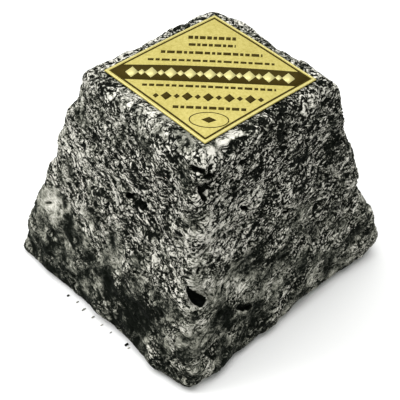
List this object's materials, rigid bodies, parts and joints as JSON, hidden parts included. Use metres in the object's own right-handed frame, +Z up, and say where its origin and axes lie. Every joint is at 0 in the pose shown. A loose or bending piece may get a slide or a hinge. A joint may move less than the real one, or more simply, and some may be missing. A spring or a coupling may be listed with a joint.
{
  "type": "goat cheese pyramid",
  "caption": "Soft goat cheese moulded as a truncated pyramid with a wrinkled ash-dusted rind, and a square gold card label lying on its flat top.",
  "frame": {"origin": "middle of the footprint's box, on the surface that the cheese stands on", "axes": "+Z up, with the sides of the square base along X and Y; the upright edge nearest the picture's camera is the one towards +X and -Y"},
  "size_m": [0.0788, 0.0838, 0.0668],
  "materials": {
    "rind": "matt charcoal ash under blotches of pale grey mould",
    "card": "satin gold card with near-black print"
  },
  "bodies": {
    "root": {"cheese": "rind", "label": "card"}
  },
  "joints": []
}
